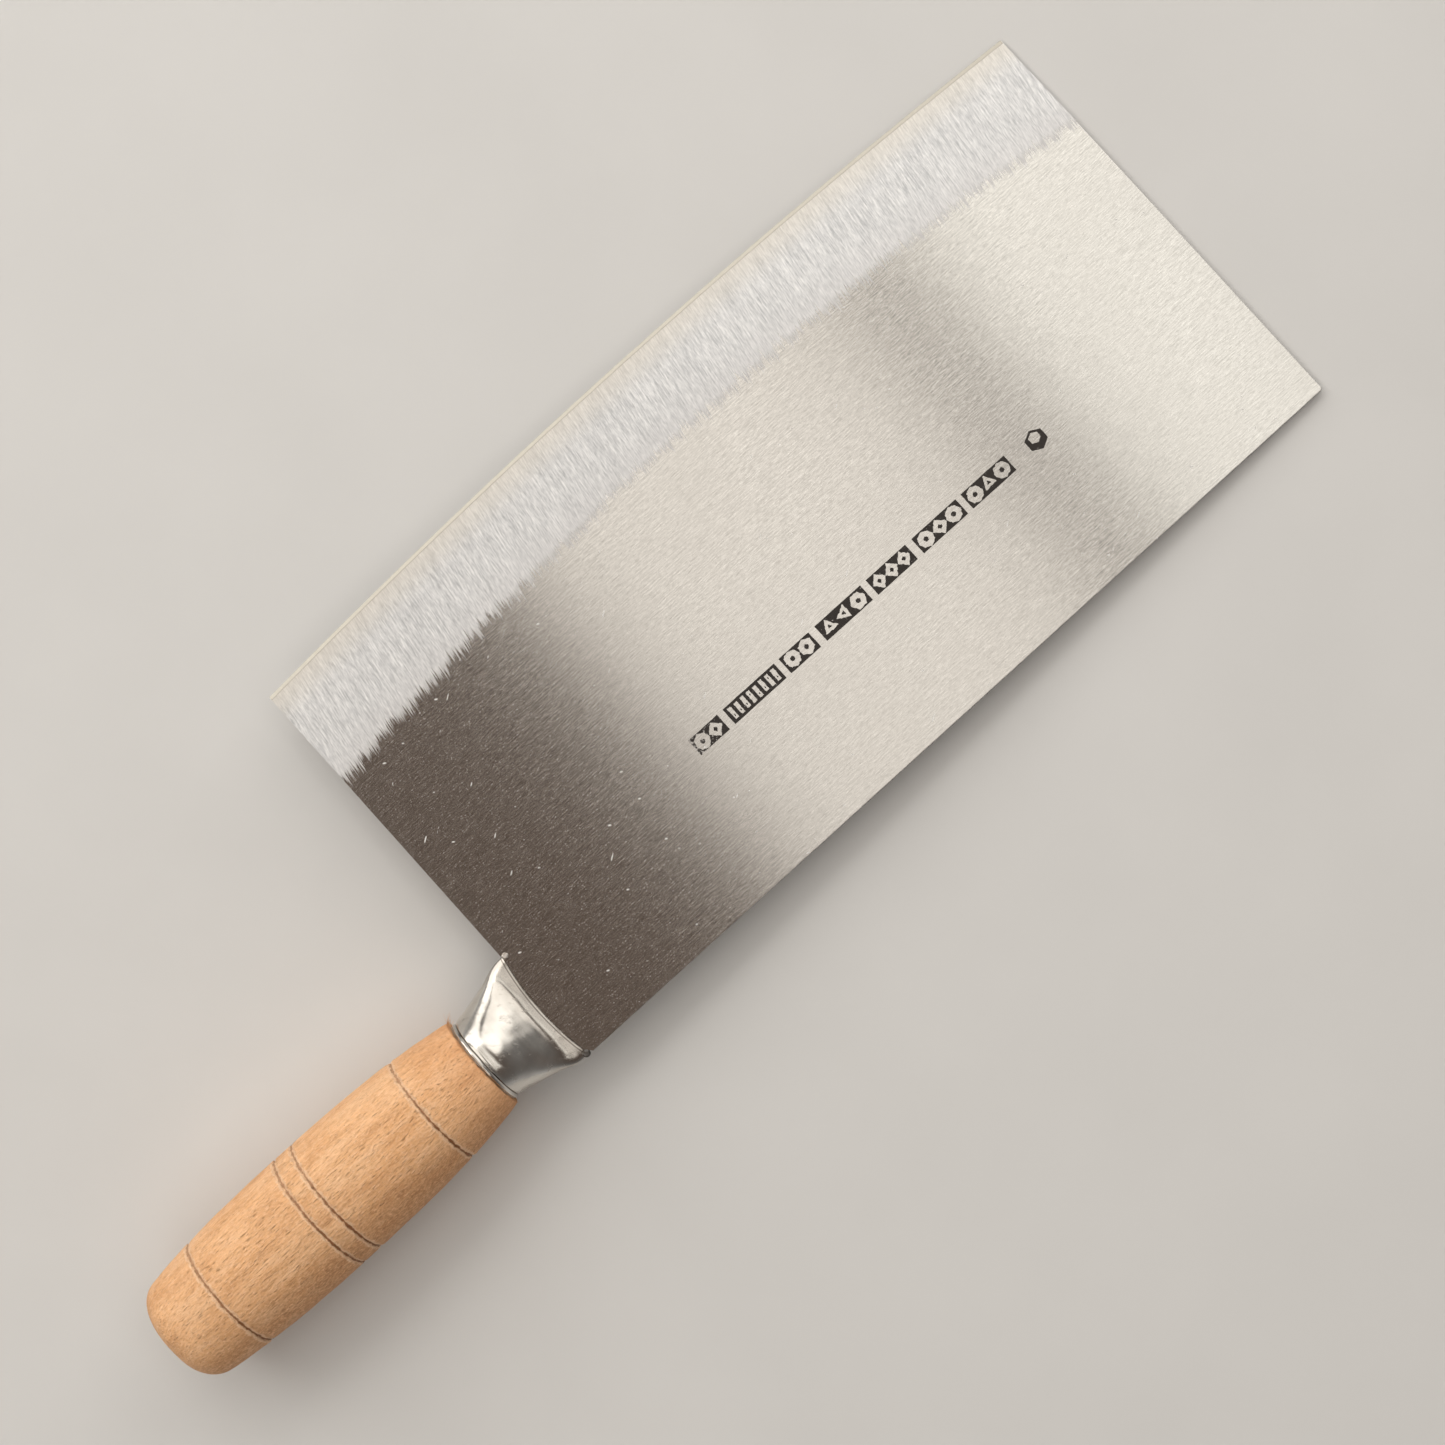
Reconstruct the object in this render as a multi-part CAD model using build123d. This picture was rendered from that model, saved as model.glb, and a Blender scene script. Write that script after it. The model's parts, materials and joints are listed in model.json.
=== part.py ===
from build123d import *
import math
import os

# A kitchen cleaver: a ground steel plate with a tang, a pressed steel ferrule and a turned wooden handle.
#
# Lengths are in millimetres and angles in degrees. Each piece is drawn in the plane of the blade first:
# +X runs along the handle's axis from the heel to the toe, +Y from that axis to the cutting edge, and +Z is
# square to the cheeks. The origin of that drawing is where the handle's axis meets the heel, at half thickness.
# place_at_rest() then lays the finished knife on a table, with the handle's belly and the toe touching it.

# Blade
BLADE_LENGTH = 215.0
BLADE_HEIGHT = 104.0  # from the spine to the corners of the cutting edge
PLATE_THICKNESS = 2.0
SPINE_Y = -14.1
EDGE_BELLY = 3.4  # how far the middle of the cutting edge stands out past its corners
BEVEL_WIDTH_AT_ENDS = 24.6
BEVEL_WIDTH_AT_MIDDLE = 21.2
BEVEL_END_HALF_THICKNESS = 0.25
HONED_WIDTH = 0.8
HONED_HALF_THICKNESS = 0.03
HEEL_CORNER_CUT = 1.2  # the spine's corner at the heel, cut off for the weld
TOE_CORNER_RADIUS = 0.6
SPINE_EDGE_BREAK = 0.15

# Root of the blade, inside the ferrule
ROOT_LENGTH = 9.0
ROOT_HALF_WIDTH_AT_MOUTH = 8.5
ROOT_HALF_WIDTH_AT_END = 6.0
ROOT_THICKNESS = 1.6

# Ferrule
FERRULE_LENGTH = 18.3
FERRULE_WALL = 0.9
MOUTH_HOLLOW = 1.5  # how far the middle of the mouth is drawn back from its corners
MOUTH_CLEARANCE = 0.08
# Stations along the tube as (share of its length from the wood, half width, half height)
FERRULE_STATIONS = [
    (0.00, 10.3, 10.3),
    (0.25, 11.0, 9.2),
    (0.60, 12.6, 5.4),
    (0.82, 14.0, 2.7),
    (1.00, 14.25, 1.95),
]

# Handle
HANDLE_LENGTH = 89.6
BELLY_FROM_FRONT = 46.2
BELLY_RADIUS = 14.8
FRONT_RADIUS = 11.6
BUTT_RADIUS = 11.7
FALL_POWER = 2.6  # how the barrel falls away from its belly
BARREL_STATIONS = 12
BUTT_DOME_RADIUS = 42.0
BUTT_CORNER_RADIUS = 6.0
PARTING_RADIUS = 2.0  # the flat in the middle of the butt where the handle was parted from the lathe
FRONT_CORNER_RADIUS = 0.5
TENON_LENGTH = 4.5
TENON_RADIUS_AT_SHOULDER = 9.3
TENON_RADIUS_AT_END = 7.6
GROOVE_DISTANCES = [14.9, 42.4, 47.4, 73.0]  # from the handle's front face
GROOVE_WIDTH = 0.7
GROOVE_DEPTH = 0.45

# Tang
TANG_THICKNESS = 4.0
TANG_WIDTH_AT_ROOT = 8.0
TANG_WIDTH_AT_BUTT = 2.6
CLENCH_INNER_RADIUS = 0.8
CLENCH_REACH = 6.5  # of the bent end, past the bend
CLENCH_SINK = 0.9  # below the top of the butt's dome
TANG_CLEARANCE = 0.1
TANG_WELD_LEG = 1.2

# Corner welds, each a round bead through the plate with a domed cap on both cheeks
EDGE_SIDE_WELD_AT = (0.45, 13.75)
EDGE_SIDE_WELD_RADIUS = 0.8
SPINE_SIDE_WELD_AT = (-0.4, -13.5)
SPINE_SIDE_WELD_RADIUS = 1.0
WELD_CAP_HEIGHT = 0.35

HALF_PLATE = PLATE_THICKNESS / 2
EDGE_CORNER_Y = SPINE_Y + BLADE_HEIGHT
HANDLE_FRONT_X = -FERRULE_LENGTH
BUTT_X = HANDLE_FRONT_X - HANDLE_LENGTH
BELLY_X = HANDLE_FRONT_X - BELLY_FROM_FRONT
EXTRA = 5.0  # how far a cutting solid runs past what it cuts


def along_edge(at_ends, at_middle, x):
    """A size that changes along the blade as a parabola, from its value at both ends to that at the middle."""
    share = 2 * x / BLADE_LENGTH - 1
    return at_middle + (at_ends - at_middle) * share**2


def cheek_cutter(start_half, end_half, width_at_ends, width_at_middle):
    """The solid that grinds one cheek: from start_half at this width before the edge, to end_half at the edge."""
    sections = []
    for x in (-EXTRA, BLADE_LENGTH / 2, BLADE_LENGTH + EXTRA):
        edge_y = along_edge(EDGE_CORNER_Y, EDGE_CORNER_Y + EDGE_BELLY, x)
        width = along_edge(width_at_ends, width_at_middle, x)
        slope = (start_half - end_half) / width
        inner_y = edge_y - 1.5 * width
        outer_y = edge_y + EXTRA
        outline = Polyline(
            (inner_y, start_half + slope * 0.5 * width),
            (outer_y, end_half - slope * EXTRA),
            (outer_y, PLATE_THICKNESS),
            (inner_y, PLATE_THICKNESS),
            close=True,
        )
        sections.append(Plane.YZ.offset(x) * make_face(outline))
    return loft(sections)


def mouth_arc(step_forward):
    """The hollow curve of the ferrule's mouth, moved towards the toe by step_forward."""
    half_width = FERRULE_STATIONS[-1][1]
    return ThreePointArc(
        (step_forward, half_width),
        (step_forward - MOUTH_HOLLOW, 0),
        (step_forward, -half_width),
    )


def make_blade():
    """The plate with its root, ground on both cheeks and honed along the edge."""
    outline = [
        Line((0, EDGE_CORNER_Y), (0, SPINE_Y + HEEL_CORNER_CUT)),
        Line((0, SPINE_Y + HEEL_CORNER_CUT), (HEEL_CORNER_CUT, SPINE_Y)),
        Line((HEEL_CORNER_CUT, SPINE_Y), (BLADE_LENGTH, SPINE_Y)),
        Line((BLADE_LENGTH, SPINE_Y), (BLADE_LENGTH, EDGE_CORNER_Y)),
        ThreePointArc(
            (BLADE_LENGTH, EDGE_CORNER_Y),
            (BLADE_LENGTH / 2, EDGE_CORNER_Y + EDGE_BELLY),
            (0, EDGE_CORNER_Y),
        ),
    ]
    sheet = make_face(Curve() + outline)
    toe_corner = sheet.vertices().sort_by_distance((BLADE_LENGTH, SPINE_Y))[0]
    sheet = fillet(toe_corner, TOE_CORNER_RADIUS)

    arc = mouth_arc(MOUTH_CLEARANCE)
    mouth_pad = make_face(Curve() + [arc, Line(arc @ 1, arc @ 0)])
    mouth_pad &= Rectangle(4 * EXTRA, 2 * (-SPINE_Y - HEEL_CORNER_CUT))
    blade = extrude(sheet + mouth_pad, HALF_PLATE, both=True)

    spine_edges = blade.edges().filter_by(Axis.X).filter_by_position(Axis.Y, SPINE_Y - 0.01, SPINE_Y + 0.01)
    blade = chamfer(spine_edges, SPINE_EDGE_BREAK)

    root = Polyline(
        (0, ROOT_HALF_WIDTH_AT_MOUTH),
        (-ROOT_LENGTH, ROOT_HALF_WIDTH_AT_END),
        (-ROOT_LENGTH, -ROOT_HALF_WIDTH_AT_END),
        (0, -ROOT_HALF_WIDTH_AT_MOUTH),
        close=True,
    )
    blade += extrude(make_face(root), ROOT_THICKNESS / 2, both=True)

    bevel = cheek_cutter(
        HALF_PLATE, BEVEL_END_HALF_THICKNESS, BEVEL_WIDTH_AT_ENDS, BEVEL_WIDTH_AT_MIDDLE
    )
    honing = cheek_cutter(BEVEL_END_HALF_THICKNESS, HONED_HALF_THICKNESS, HONED_WIDTH, HONED_WIDTH)
    for cutter in (bevel, honing):
        blade -= cutter
        blade -= mirror(cutter, Plane.XY)
    return blade


def tube_solid(inset):
    """The ferrule's outer form, or with an inset of one wall, the space inside it."""
    sections = []
    for share, half_width, half_height in FERRULE_STATIONS:
        x = HANDLE_FRONT_X + share * FERRULE_LENGTH
        sections.append(Plane.YZ.offset(x) * Ellipse(half_width - inset, half_height - inset))
    return loft(sections)


def make_ferrule():
    """A tube that is round at the wood and pressed flat over the root, with a hollow mouth."""
    arc = mouth_arc(0)
    half_width = FERRULE_STATIONS[-1][1]
    beyond_mouth = make_face(
        Curve()
        + [
            arc,
            Line((0, -half_width), (0, -half_width - EXTRA)),
            Line((0, -half_width - EXTRA), (EXTRA, -half_width - EXTRA)),
            Line((EXTRA, -half_width - EXTRA), (EXTRA, half_width + EXTRA)),
            Line((EXTRA, half_width + EXTRA), (0, half_width + EXTRA)),
            Line((0, half_width + EXTRA), (0, half_width)),
        ]
    )
    ferrule = tube_solid(0) - tube_solid(FERRULE_WALL)
    return ferrule - extrude(beyond_mouth, 3 * EXTRA, both=True)


def barrel_radius(x):
    """The handle's radius at x: greatest at its belly and falling away towards both ends."""
    if x > BELLY_X:
        reach, end_radius = HANDLE_FRONT_X - BELLY_X, FRONT_RADIUS
    else:
        reach, end_radius = BELLY_X - BUTT_X, BUTT_RADIUS
    return BELLY_RADIUS - (BELLY_RADIUS - end_radius) * (abs(x - BELLY_X) / reach) ** FALL_POWER


def make_handle(tang_room):
    """The turned barrel with its tenon and grooves, and room for the tang."""
    tenon_end_x = HANDLE_FRONT_X + TENON_LENGTH
    step = HANDLE_LENGTH / BARREL_STATIONS
    stations = [HANDLE_FRONT_X - step * i for i in range(BARREL_STATIONS + 1)]
    dome_drop = BUTT_DOME_RADIUS - math.sqrt(BUTT_DOME_RADIUS**2 - BUTT_RADIUS**2)
    stations[-1] = BUTT_X + dome_drop
    side = Spline([(x, barrel_radius(x)) for x in stations])
    dome = RadiusArc(side @ 1, (BUTT_X, PARTING_RADIUS), -BUTT_DOME_RADIUS)
    front = Polyline(
        (BUTT_X, PARTING_RADIUS),
        (BUTT_X, 0),
        (tenon_end_x, 0),
        (tenon_end_x, TENON_RADIUS_AT_END),
        (HANDLE_FRONT_X, TENON_RADIUS_AT_SHOULDER),
        (HANDLE_FRONT_X, FRONT_RADIUS),
    )
    section = make_face(Curve() + [side, dome, front])
    section = fillet(section.vertices().sort_by_distance(side @ 1)[0], BUTT_CORNER_RADIUS)
    section = fillet(section.vertices().sort_by_distance(side @ 0)[0], FRONT_CORNER_RADIUS)
    for distance in GROOVE_DISTANCES:
        x = HANDLE_FRONT_X - distance
        groove = Polyline(
            (x, barrel_radius(x) - GROOVE_DEPTH),
            (x - GROOVE_WIDTH, barrel_radius(x) + GROOVE_DEPTH),
            (x + GROOVE_WIDTH, barrel_radius(x) + GROOVE_DEPTH),
            close=True,
        )
        section -= make_face(groove)
    return revolve(section, Axis.X) - tang_room


def make_tang(clearance):
    """The tapered bar from the root to the butt, its end bent over and thickened all round by a clearance."""
    half_end = TANG_WIDTH_AT_BUTT / 2 + clearance
    thickness = TANG_THICKNESS + 2 * clearance
    bend_x = BUTT_X + CLENCH_SINK + TANG_WIDTH_AT_BUTT + CLENCH_INNER_RADIUS
    bend_y = -TANG_WIDTH_AT_BUTT / 2 - CLENCH_INNER_RADIUS
    root_end = Plane.YZ.offset(-ROOT_LENGTH) * Rectangle(TANG_WIDTH_AT_ROOT + 2 * clearance, thickness)
    butt_end = Plane.YZ.offset(bend_x) * Rectangle(2 * half_end, thickness)
    bar = loft([root_end, butt_end])
    elbow = revolve(butt_end, Axis((bend_x, bend_y, 0), (0, 0, 1)), 90)
    reach = CLENCH_REACH + clearance
    clench_x = BUTT_X + CLENCH_SINK + TANG_WIDTH_AT_BUTT / 2
    clench = Pos(clench_x, bend_y - reach / 2, 0) * Box(2 * half_end, reach, thickness)
    return bar + elbow + clench


def make_tang_room():
    """The hole through the handle, and the open groove in the butt that the tang's end is hammered into."""
    groove_depth = CLENCH_SINK + TANG_WIDTH_AT_BUTT / 2
    groove_top = TANG_WIDTH_AT_BUTT / 2 + TANG_CLEARANCE
    groove_length = groove_top + TANG_WIDTH_AT_BUTT / 2 + CLENCH_INNER_RADIUS + CLENCH_REACH + TANG_CLEARANCE
    groove = Pos(BUTT_X + (groove_depth - EXTRA) / 2, groove_top - groove_length / 2, 0) * Box(
        groove_depth + EXTRA, groove_length, TANG_THICKNESS + 2 * TANG_CLEARANCE
    )
    return make_tang(TANG_CLEARANCE) + groove


def make_corner_weld(centre, radius):
    """A bead that runs through the plate at centre, with a flattened cap standing proud of each cheek."""
    cap_flat = 0.4 * radius
    half_section = Polyline(
        (0, HALF_PLATE + WELD_CAP_HEIGHT),
        (cap_flat, HALF_PLATE + WELD_CAP_HEIGHT),
        (radius, HALF_PLATE),
        (radius, -HALF_PLATE),
        (cap_flat, -HALF_PLATE - WELD_CAP_HEIGHT),
        (0, -HALF_PLATE - WELD_CAP_HEIGHT),
        close=True,
    )
    return Pos(*centre, 0) * revolve(Plane.XZ * make_face(half_section), Axis.Z)


def make_tang_weld():
    """Two fillet welds across the tang's front face, one on each side of the root."""
    x = -ROOT_LENGTH
    z = ROOT_THICKNESS / 2
    bead = Plane.XZ * make_face(
        Polyline((x, z), (x + TANG_WELD_LEG, z), (x, z + TANG_WELD_LEG), close=True)
    )
    upper = extrude(bead, TANG_WIDTH_AT_ROOT / 2, both=True)
    return upper + mirror(upper, Plane.XY)


def resting_tilt():
    """The angle between blade and table: the steepest line from the toe's lower edge to the barrel."""
    stations = [HANDLE_FRONT_X - 0.25 * i for i in range(int(4 * HANDLE_LENGTH))]
    return math.degrees(
        max(math.atan2(barrel_radius(x) - HALF_PLATE, BLADE_LENGTH - x) for x in stations)
    )


def place_at_rest(pieces):
    """Lays the knife on the table, cheek up, with the origin below the middle of its box."""
    tilted = {name: Rot(0, resting_tilt(), 0) * piece for name, piece in pieces.items()}
    box = Compound(list(tilted.values())).bounding_box()
    middle = box.center()
    return {name: Pos(-middle.X, -middle.Y, -box.min.Z) * piece for name, piece in tilted.items()}


blade = make_blade()
ferrule = make_ferrule() - blade
edge_side_weld = make_corner_weld(EDGE_SIDE_WELD_AT, EDGE_SIDE_WELD_RADIUS)
spine_side_weld = make_corner_weld(SPINE_SIDE_WELD_AT, SPINE_SIDE_WELD_RADIUS)
for weld in (edge_side_weld, spine_side_weld):
    blade -= weld
    ferrule -= weld

PIECES = {
    "blade": blade,
    "tang": make_tang(0),
    "tang_weld": make_tang_weld(),
    "ferrule": ferrule,
    "edge_side_weld": edge_side_weld,
    "spine_side_weld": spine_side_weld,
    "handle": make_handle(make_tang_room()),
}

os.makedirs("parts", exist_ok=True)
for name, piece in place_at_rest(PIECES).items():
    export_step(piece, f"parts/{name}.step")
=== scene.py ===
import json
import math
import random

import bmesh
import bpy
from mathutils import Matrix, Vector


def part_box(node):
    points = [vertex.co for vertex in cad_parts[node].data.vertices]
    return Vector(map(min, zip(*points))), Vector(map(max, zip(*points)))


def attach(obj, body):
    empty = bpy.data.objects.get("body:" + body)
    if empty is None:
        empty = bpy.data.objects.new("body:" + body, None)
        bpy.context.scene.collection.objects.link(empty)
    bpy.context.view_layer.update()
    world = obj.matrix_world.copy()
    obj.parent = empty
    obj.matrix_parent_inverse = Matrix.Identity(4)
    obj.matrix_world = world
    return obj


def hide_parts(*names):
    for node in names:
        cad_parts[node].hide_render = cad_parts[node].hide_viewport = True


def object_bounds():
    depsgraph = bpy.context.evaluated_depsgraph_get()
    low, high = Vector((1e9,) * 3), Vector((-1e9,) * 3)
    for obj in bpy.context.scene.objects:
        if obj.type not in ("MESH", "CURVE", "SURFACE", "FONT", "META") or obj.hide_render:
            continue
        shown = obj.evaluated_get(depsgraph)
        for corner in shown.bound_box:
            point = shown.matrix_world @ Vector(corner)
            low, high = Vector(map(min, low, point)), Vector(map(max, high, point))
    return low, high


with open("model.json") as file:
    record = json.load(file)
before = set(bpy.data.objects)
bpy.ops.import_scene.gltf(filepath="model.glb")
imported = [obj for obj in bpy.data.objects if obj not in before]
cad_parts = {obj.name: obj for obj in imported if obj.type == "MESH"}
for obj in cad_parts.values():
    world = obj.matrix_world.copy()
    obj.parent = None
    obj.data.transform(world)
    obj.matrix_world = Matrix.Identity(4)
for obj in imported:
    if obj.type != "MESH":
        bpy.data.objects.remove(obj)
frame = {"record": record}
cad_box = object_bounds()

# ----------------------------------------------------------------------------------------------------
# Blade
# One plate of rolled steel, 2 mm thick, ground with a wide bevel on both cheeks and honed to a thin edge.
# The cheeks are brushed lengthwise and the bevels crosswise. It is drawn flat, in millimetres, +X to the toe,
# +Y to the edge and the origin where the handle's axis meets the heel, and is then laid on the table.
# ----------------------------------------------------------------------------------------------------

PLATE_LENGTH = 215.0
PLATE_HEIGHT = 104.0
HALF_PLATE = 1.0
SPINE_Y = -14.1
EDGE_Y = SPINE_Y + PLATE_HEIGHT
BEVEL_AT_ENDS = 24.6
BEVEL_AT_MIDDLE = 21.2
EDGE_BELLY = 3.4
HONED_WIDTH = 0.8
# Thicknesses as shares of the one before: where the bevel ends, then at the very edge
BEVEL_END_SHARE = 0.27
HONED_EDGE_SHARE = 0.13
TOE_CORNER_RADIUS = 0.6
EDGE_BREAK = 0.16
HEEL_CORNER_CUT = 1.2
BLADE_STATIONS = 54
MOUTH_HALF_WIDTH = 14.25
MOUTH_HOLLOW = 1.5
MOUTH_GAP = 0.08
HOLLOW_ROWS = [-12.9, -11.0, -8.5, -5.7, -2.9, 0.0, 2.9, 5.7, 8.5, 11.0, 12.9]
ROOT_HALF_WIDTH = 8.5
ROOT_LENGTH = 7.6
ROOT_END_X = -9.0
ROOT_WIDTH_SHARE = 0.7
ROOT_THICKNESS_SHARE = 0.8

MILLIMETRE = 0.001
cheek = next(mount for mount in frame["record"]["mounts"] if mount["name"] == "upper_cheek")
cheek_axis = Vector(cheek["axis"]).normalized()
tilt = math.atan2(cheek_axis.x, cheek_axis.z)
toe_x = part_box("blade")[1][0]
heel_x = toe_x - (PLATE_LENGTH * math.cos(tilt) + HALF_PLATE * math.sin(tilt)) * MILLIMETRE
axis_y = (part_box("handle")[0][1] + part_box("handle")[1][1]) / 2
cheek_height = cheek_axis.dot(Vector(cheek["pos_m"]))
heel_z = (cheek_height - HALF_PLATE * MILLIMETRE - cheek_axis.x * heel_x) / cheek_axis.z
heel = Vector((heel_x, axis_y, heel_z))
laid = Matrix.Translation(heel) @ Matrix.Rotation(tilt, 4, "Y") @ Matrix.Scale(MILLIMETRE, 4)


def lay_on_table(piece):
    """Lays a piece drawn flat in millimetres where it rests, with its place in its mesh."""
    bpy.ops.object.select_all(action="DESELECT")
    piece.select_set(True)
    bpy.context.view_layer.objects.active = piece
    piece.matrix_world = laid @ piece.matrix_world
    bpy.ops.object.transform_apply(location=True, rotation=True, scale=True)


def start_piece(name):
    """Names the primitive just added and opens it for shaping."""
    piece = bpy.context.object
    piece.name = name
    piece.data.name = name
    bpy.ops.object.transform_apply(location=True, rotation=True, scale=True)
    bpy.ops.object.mode_set(mode="EDIT")
    return piece


def pick(piece, kind, wanted):
    """Selects just the corners, edges or faces whose middle passes the test."""
    mode = {"verts": "VERT", "edges": "EDGE", "faces": "FACE"}[kind]
    bpy.ops.mesh.select_mode(type=mode)
    bpy.ops.mesh.select_all(action="DESELECT")
    mesh = bmesh.from_edit_mesh(piece.data)
    for part in getattr(mesh, kind):
        if kind == "verts":
            chosen = wanted(part.co)
        elif kind == "edges":
            ends = [corner.co for corner in part.verts]
            chosen = wanted((ends[0] + ends[1]) / 2, ends[1] - ends[0])
        else:
            chosen = wanted(part.calc_center_median(), part.normal)
        part.select_set(chosen)
    mesh.select_flush_mode()
    bmesh.update_edit_mesh(piece.data)


def cut_at(place, direction):
    """Cuts the whole piece open for a new row of corners, without removing anything."""
    bpy.ops.mesh.select_all(action="SELECT")
    bpy.ops.mesh.bisect(plane_co=place, plane_no=direction, threshold=0.0005)


def close_piece(piece, smooth_angle):
    """Merges doubles, turns faces outward and ends with soft shading below an angle in degrees."""
    bpy.ops.mesh.select_all(action="SELECT")
    bpy.ops.mesh.remove_doubles(threshold=0.0005)
    bpy.ops.mesh.normals_make_consistent(inside=False)
    bpy.ops.object.mode_set(mode="OBJECT")
    bpy.ops.object.select_all(action="DESELECT")
    piece.select_set(True)
    bpy.context.view_layer.objects.active = piece
    bpy.ops.object.shade_smooth_by_angle(angle=math.radians(smooth_angle))


def along_blade(at_ends, at_middle, x):
    """A size that changes along the blade as a shallow arc, from both ends to the middle."""
    return at_middle + (at_ends - at_middle) * (2 * x / PLATE_LENGTH - 1) ** 2


bpy.ops.object.select_all(action="DESELECT")
flat_height = PLATE_HEIGHT - BEVEL_AT_ENDS
bpy.ops.mesh.primitive_cube_add(
    size=1,
    location=(PLATE_LENGTH / 2, SPINE_Y + flat_height / 2, 0),
    scale=(PLATE_LENGTH, flat_height, 2 * HALF_PLATE),
)
blade = start_piece("blade_plate")
pick(blade, "faces", lambda at, way: way.y > 0.9)
bpy.ops.mesh.extrude_region_move(TRANSFORM_OT_translate={"value": (0, BEVEL_AT_ENDS - HONED_WIDTH, 0)})
bpy.ops.transform.resize(value=(1, 1, BEVEL_END_SHARE), center_override=(0, 0, 0))
bpy.ops.mesh.extrude_region_move(TRANSFORM_OT_translate={"value": (0, HONED_WIDTH, 0)})
bpy.ops.transform.resize(value=(1, 1, HONED_EDGE_SHARE), center_override=(0, 0, 0))

# The cutting edge's belly, with the odd nick of a few hundredths of a millimetre in the honed edge
nicks = random.Random(7)
for i in range(1, BLADE_STATIONS):
    cut_at((PLATE_LENGTH * i / BLADE_STATIONS, 0, 0), (1, 0, 0))
for i in range(1, BLADE_STATIONS):
    x = PLATE_LENGTH * i / BLADE_STATIONS
    edge_shift = along_blade(0, EDGE_BELLY, x)
    grind_shift = edge_shift + BEVEL_AT_ENDS - along_blade(BEVEL_AT_ENDS, BEVEL_AT_MIDDLE, x)
    pick(blade, "verts", lambda at: abs(at.x - x) < 0.01 and at.y > EDGE_Y - 2)
    bpy.ops.transform.translate(value=(0, edge_shift, 0))
    pick(blade, "verts", lambda at: abs(at.x - x) < 0.01 and abs(at.y - SPINE_Y - flat_height) < 0.01)
    bpy.ops.transform.translate(value=(0, grind_shift, 0))
    nick = max(0.0, nicks.gauss(-0.02, 0.05))
    pick(blade, "verts", lambda at: abs(at.x - x) < 0.01 and at.y > EDGE_Y + edge_shift - 0.1)
    bpy.ops.transform.translate(value=(0, -nick, 0))

# The heel under the ferrule's hollow mouth, and the root that runs into the ferrule
for row in HOLLOW_ROWS:
    cut_at((0, row, 0), (0, 1, 0))
for row in HOLLOW_ROWS:
    drawn_back = MOUTH_HOLLOW * (1 - (row / MOUTH_HALF_WIDTH) ** 2) - MOUTH_GAP
    pick(blade, "verts", lambda at: abs(at.x) < 0.01 and abs(at.y - row) < 0.01)
    bpy.ops.transform.translate(value=(-drawn_back, 0, 0))
pick(blade, "faces", lambda at, way: at.x < 0.01 and way.x < -0.5 and abs(at.y) < ROOT_HALF_WIDTH)
bpy.ops.mesh.extrude_region_move(TRANSFORM_OT_translate={"value": (-ROOT_LENGTH, 0, 0)})
bpy.ops.transform.resize(
    value=(0, ROOT_WIDTH_SHARE, ROOT_THICKNESS_SHARE), center_override=(ROOT_END_X, 0, 0)
)

# The spine's corner at the heel is cut off for the weld, the other is rounded, and the long edges are broken
bpy.ops.mesh.select_all(action="SELECT")
bpy.ops.mesh.bisect(
    plane_co=(0, SPINE_Y + HEEL_CORNER_CUT, 0),
    plane_no=(-1, -1, 0),
    use_fill=True,
    clear_outer=True,
    threshold=0.0005,
)
pick(blade, "edges", lambda at, run: abs(run.z) > 1 and at.x > PLATE_LENGTH - 0.1 and at.y < SPINE_Y + 0.1)
bpy.ops.mesh.bevel(offset=TOE_CORNER_RADIUS, segments=4)


def outer_edge(at, run):
    """The plate's corners between cheek and side, from the heel round the spine to the toe."""
    on_face = abs(abs(at.z) - HALF_PLATE) < 0.001 and abs(run.z) < 0.001
    along_spine = at.y < SPINE_Y + 0.001
    at_toe = at.x > PLATE_LENGTH - 0.001
    at_heel = abs(at.x) < 0.001 and abs(run.x) < 0.001 and at.y > 13
    at_toe_corner = at.x > PLATE_LENGTH - 1 and at.y < SPINE_Y + 1 and abs(run.x * run.y) > 0
    return on_face and (along_spine or at_toe or at_heel or at_toe_corner)


pick(blade, "edges", outer_edge)
bpy.ops.mesh.bevel(offset=EDGE_BREAK, segments=2)
close_piece(blade, 1)


def add_node(finish, kind, inputs=None, **options):
    """Adds one shader node to a finish, sets its options and feeds its inputs values or outputs."""
    node = finish.node_tree.nodes.new(kind)
    for option, value in options.items():
        setattr(node, option, value)
    for socket, value in (inputs or {}).items():
        if isinstance(value, bpy.types.NodeSocket):
            finish.node_tree.links.new(value, node.inputs[socket])
        else:
            node.inputs[socket].default_value = value
    return node


def new_finish(name):
    """A finish with only its output in it."""
    finish = bpy.data.materials.new(name)
    finish.use_nodes = True
    finish.node_tree.nodes.clear()
    return finish


def drawn_place(finish):
    """Where a point is on the drawing, in millimetres, from its place on the table."""
    place = add_node(finish, "ShaderNodeTexCoord")
    unturned = -(Matrix.Rotation(-tilt, 3, "Y") @ heel) / MILLIMETRE
    return add_node(
        finish,
        "ShaderNodeMapping",
        {
            "Vector": place.outputs["Object"],
            "Location": unturned,
            "Rotation": (0, -tilt, 0),
            "Scale": (1 / MILLIMETRE, 1 / MILLIMETRE, 1 / MILLIMETRE),
        },
    ).outputs["Vector"]


def stretched(finish, place, stretch, turn, shift=0.0):
    """The place turned about the cheek's normal, then scaled to so many units to a millimetre each way."""
    turned = add_node(
        finish,
        "ShaderNodeMapping",
        {"Vector": place, "Rotation": (0, 0, turn), "Location": (shift, shift, shift)},
    )
    return add_node(finish, "ShaderNodeMapping", {"Vector": turned.outputs[0], "Scale": stretch}).outputs[0]


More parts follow.
